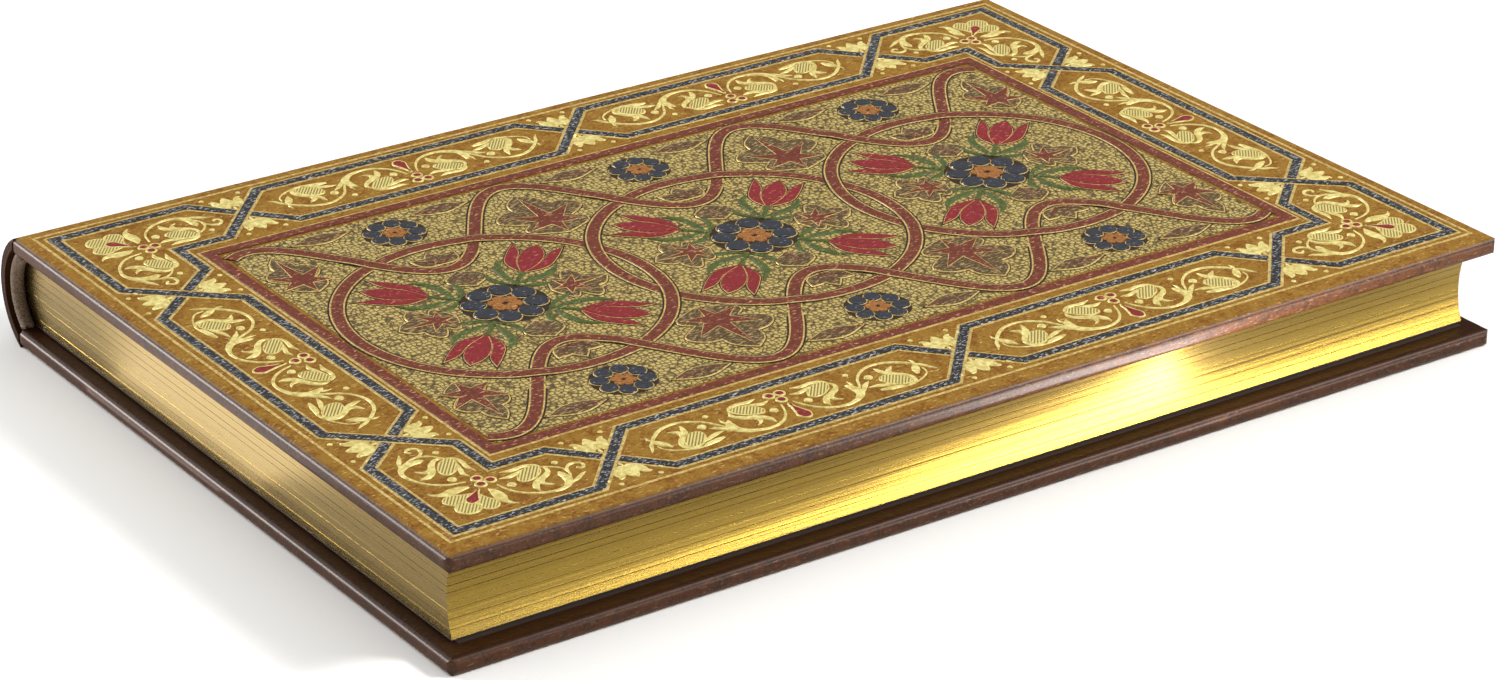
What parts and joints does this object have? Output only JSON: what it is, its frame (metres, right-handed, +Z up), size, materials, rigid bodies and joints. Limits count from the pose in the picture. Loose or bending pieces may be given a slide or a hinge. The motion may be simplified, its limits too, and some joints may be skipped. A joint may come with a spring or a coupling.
{
  "type": "hardcover journal",
  "caption": "Casebound pocket journal with hinged covers, round spine, gilt page edges, end bands and an embossed interlace and scrollwork front cover.",
  "frame": {"origin": "under the middle of the closed journal, on the surface that it lies on", "axes": "+X towards the fore-edge, +Y along the spine towards the head, +Z up through the front cover"},
  "size_m": [0.099, 0.14, 0.0137],
  "materials": {
    "gilt_pages": "paper with gilt edges",
    "endpaper": "dark brown, matte",
    "gauze": "open weave",
    "kraft_paper": "matte",
    "braid": "braided",
    "greyboard": "matte",
    "covering": "fine embossed grain, satin",
    "gold_foil": "satin foil",
    "gold_ground": "pebbled foil",
    "dark_blue_print": "satin",
    "madder_print": "satin",
    "red_print": "satin",
    "olive_print": "satin",
    "green_print": "satin",
    "tan_print": "satin"
  },
  "bodies": {
    "book_block": {"text_block": "gilt_pages", "front_flyleaf": "endpaper", "back_flyleaf": "endpaper", "mull": "gauze", "spine_lining": "kraft_paper", "headband": "braid", "tailband": "braid", "spine_inlay": "greyboard", "spine_covering": "covering"},
    "front_cover": {"front_board": "greyboard", "front_covering": "covering", "front_pastedown": "endpaper", "border_gilding": "gold_foil", "border_straps": "dark_blue_print", "border_scrolls": "gold_foil", "border_berries": "red_print", "panel_ground": "gold_ground", "panel_laces": "madder_print", "panel_leaves": "olive_print", "panel_sprigs": "green_print", "panel_rosettes": "dark_blue_print", "panel_buds": "red_print", "panel_hearts": "tan_print"},
    "back_cover": {"back_board": "greyboard", "back_covering": "covering", "back_pastedown": "endpaper"}
  },
  "joints": [
    {"name": "front_hinge", "type": "hinge", "parent": "book_block", "child": "front_cover", "pos_m": [-0.0455, 0, 0.0136], "axis": [0, -1, 0], "range_deg": [0, 180]},
    {"name": "back_hinge", "type": "hinge", "parent": "book_block", "child": "back_cover", "pos_m": [-0.0455, 0, 0], "axis": [0, 1, 0], "range_deg": [0, 180]}
  ]
}
